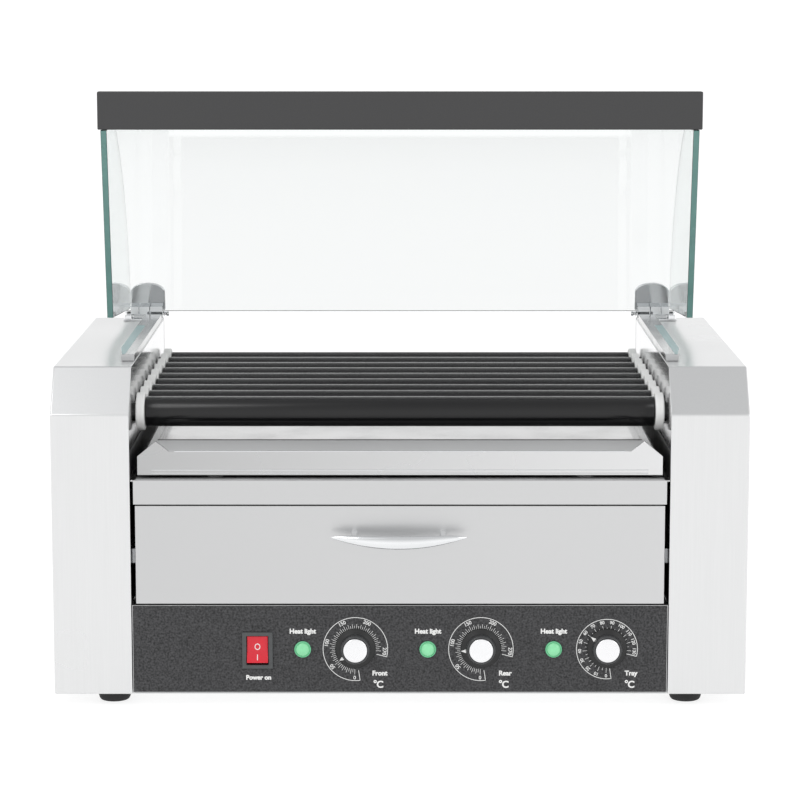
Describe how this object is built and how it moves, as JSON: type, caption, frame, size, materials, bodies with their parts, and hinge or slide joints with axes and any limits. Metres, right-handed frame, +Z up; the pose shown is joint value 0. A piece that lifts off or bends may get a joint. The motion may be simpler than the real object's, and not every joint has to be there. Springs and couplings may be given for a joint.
{
  "type": "hot dog roller grill",
  "caption": "Countertop roller grill: driven heated rollers between two steel side boxes, drip tray, bun drawer, dial panel and a hinged bent-glass hood.",
  "frame": {"origin": "centre of the bounding box at the underside of the feet, on the counter", "axes": "+Z up, +X to the right seen from the front, the controls face -Y"},
  "size_m": [0.58, 0.4036, 0.507],
  "materials": {
    "case_steel": "satin brushed stainless steel",
    "polished_steel": "bright polished stainless steel",
    "hinge_chrome": "polished chrome",
    "zinc_steel": "zinc-plated sheet and castings",
    "element": "heat-darkened stainless sheath",
    "bronze": "sintered bronze",
    "roller_black": "black non-stick coating, satin",
    "ptfe": "white PTFE",
    "glass": "clear toughened glass, green at the edges",
    "trim_grey": "dark grey plastic trim",
    "overlay": "dark speckled label sheet",
    "black_plastic": "black moulded plastic",
    "red_plastic": "translucent red rocker",
    "lamp_green": "translucent green lens",
    "foot_rubber": "black rubber"
  },
  "bodies": {
    "housing": {"base_pan": "case_steel", "control_panel": "case_steel", "drawer_heater": "element", "drawer_shelf": "zinc_steel", "drive_chain": "zinc_steel", "front_left_foot": "foot_rubber", "front_right_foot": "foot_rubber", "gear_motor": "zinc_steel", "heater_bank": "element", "left_bearing_bar": "bronze", "left_drawer_runner": "zinc_steel", "left_hinge_base": "hinge_chrome", "left_inner_panel": "polished_steel", "left_seal_strip": "ptfe", "left_side_box": "case_steel", "panel_overlay": "overlay", "pilot_lamp_1": "lamp_green", "pilot_lamp_2": "lamp_green", "pilot_lamp_3": "lamp_green", "power_inlet": "black_plastic", "rear_left_foot": "foot_rubber", "rear_panel": "case_steel", "rear_right_foot": "foot_rubber", "right_bearing_bar": "bronze", "right_drawer_runner": "zinc_steel", "right_hinge_base": "hinge_chrome", "right_inner_panel": "polished_steel", "right_seal_strip": "ptfe", "right_side_box": "case_steel", "service_panel": "case_steel", "switch_body": "black_plastic", "thermostat_1": "zinc_steel", "thermostat_2": "zinc_steel", "thermostat_3": "zinc_steel", "tray_deck": "case_steel"},
    "hood": {"hood_glass": "glass", "left_hood_pane": "glass", "right_hood_pane": "glass", "hood_trim_bar": "trim_grey", "left_hinge_leaf": "hinge_chrome", "right_hinge_leaf": "hinge_chrome"},
    "drawer": {"drawer_front": "case_steel", "drawer_box": "case_steel", "drawer_handle": "hinge_chrome"},
    "tray": {"drip_tray": "case_steel"},
    "rocker": {"switch_rocker": "red_plastic"},
    "motor_shaft": {"motor_sprocket": "zinc_steel"},
    "dial_1": {"knob_1": "black_plastic"},
    "dial_2": {"knob_2": "black_plastic"},
    "dial_3": {"knob_3": "black_plastic"},
    "roller_1": {"roller_1": "roller_black"},
    "roller_2": {"roller_2": "roller_black"},
    "roller_3": {"roller_3": "roller_black"},
    "roller_4": {"roller_4": "roller_black"},
    "roller_5": {"roller_5": "roller_black"},
    "roller_6": {"roller_6": "roller_black"},
    "roller_7": {"roller_7": "roller_black"},
    "roller_8": {"roller_8": "roller_black"},
    "roller_9": {"roller_9": "roller_black"}
  },
  "joints": [
    {"name": "hood_hinge", "type": "hinge", "parent": "housing", "child": "hood", "pos_m": [0, 0.1982, 0.287], "axis": [-1, 0, 0], "range_deg": [0, 80]},
    {"name": "drawer_slide", "type": "slide", "parent": "housing", "child": "drawer", "axis": [0, -1, 0], "range_m": [0, 0.24]},
    {"name": "tray_slide", "type": "slide", "parent": "housing", "child": "tray", "axis": [0, -1, 0], "range_m": [0, 0.28]},
    {"name": "switch_rock", "type": "hinge", "parent": "housing", "child": "rocker", "pos_m": [-0.1194, -0.1698, 0.0481], "axis": [1, 0, 0], "range_deg": [0, 16]},
    {"name": "dial_1_turn", "type": "hinge", "parent": "housing", "child": "dial_1", "pos_m": [-0.0374, -0.1738, 0.05], "axis": [0, 1, 0], "range_deg": [-59, 220]},
    {"name": "dial_2_turn", "type": "hinge", "parent": "housing", "child": "dial_2", "pos_m": [0.0678, -0.1738, 0.05], "axis": [0, 1, 0], "range_deg": [-86, 193]},
    {"name": "dial_3_turn", "type": "hinge", "parent": "housing", "child": "dial_3", "pos_m": [0.1734, -0.1738, 0.05], "axis": [0, 1, 0], "range_deg": [-130, 149]},
    {"name": "roller_1_spin", "type": "hinge", "parent": "housing", "child": "roller_1", "pos_m": [0, -0.1208, 0.2424], "axis": [1, 0, 0], "continuous": true},
    {"name": "roller_2_spin", "type": "hinge", "parent": "housing", "child": "roller_2", "pos_m": [0, -0.0858, 0.2424], "axis": [1, 0, 0], "continuous": true},
    {"name": "roller_3_spin", "type": "hinge", "parent": "housing", "child": "roller_3", "pos_m": [0, -0.0508, 0.2424], "axis": [1, 0, 0], "continuous": true},
    {"name": "roller_4_spin", "type": "hinge", "parent": "housing", "child": "roller_4", "pos_m": [0, -0.0158, 0.2424], "axis": [1, 0, 0], "continuous": true},
    {"name": "roller_5_spin", "type": "hinge", "parent": "housing", "child": "roller_5", "pos_m": [0, 0.0192, 0.2424], "axis": [1, 0, 0], "continuous": true},
    {"name": "roller_6_spin", "type": "hinge", "parent": "housing", "child": "roller_6", "pos_m": [0, 0.0542, 0.2424], "axis": [1, 0, 0], "continuous": true},
    {"name": "roller_7_spin", "type": "hinge", "parent": "housing", "child": "roller_7", "pos_m": [0, 0.0892, 0.2424], "axis": [1, 0, 0], "continuous": true},
    {"name": "roller_8_spin", "type": "hinge", "parent": "housing", "child": "roller_8", "pos_m": [0, 0.1242, 0.2424], "axis": [1, 0, 0], "continuous": true},
    {"name": "roller_9_spin", "type": "hinge", "parent": "housing", "child": "roller_9", "pos_m": [0, 0.1592, 0.2424], "axis": [1, 0, 0], "continuous": true},
    {"name": "motor_spin", "type": "hinge", "parent": "housing", "child": "motor_shaft", "pos_m": [-0.24, 0.0192, 0.13], "axis": [1, 0, 0], "continuous": true}
  ],
  "couplings": [
    {"joint": "roller_2_spin", "follows": "roller_1_spin", "ratio": 1},
    {"joint": "roller_3_spin", "follows": "roller_1_spin", "ratio": 1},
    {"joint": "roller_4_spin", "follows": "roller_1_spin", "ratio": 1},
    {"joint": "roller_5_spin", "follows": "roller_1_spin", "ratio": 1},
    {"joint": "roller_6_spin", "follows": "roller_1_spin", "ratio": 1},
    {"joint": "roller_7_spin", "follows": "roller_1_spin", "ratio": 1},
    {"joint": "roller_8_spin", "follows": "roller_1_spin", "ratio": 1},
    {"joint": "roller_9_spin", "follows": "roller_1_spin", "ratio": 1},
    {"joint": "motor_spin", "follows": "roller_1_spin", "ratio": 1}
  ]
}
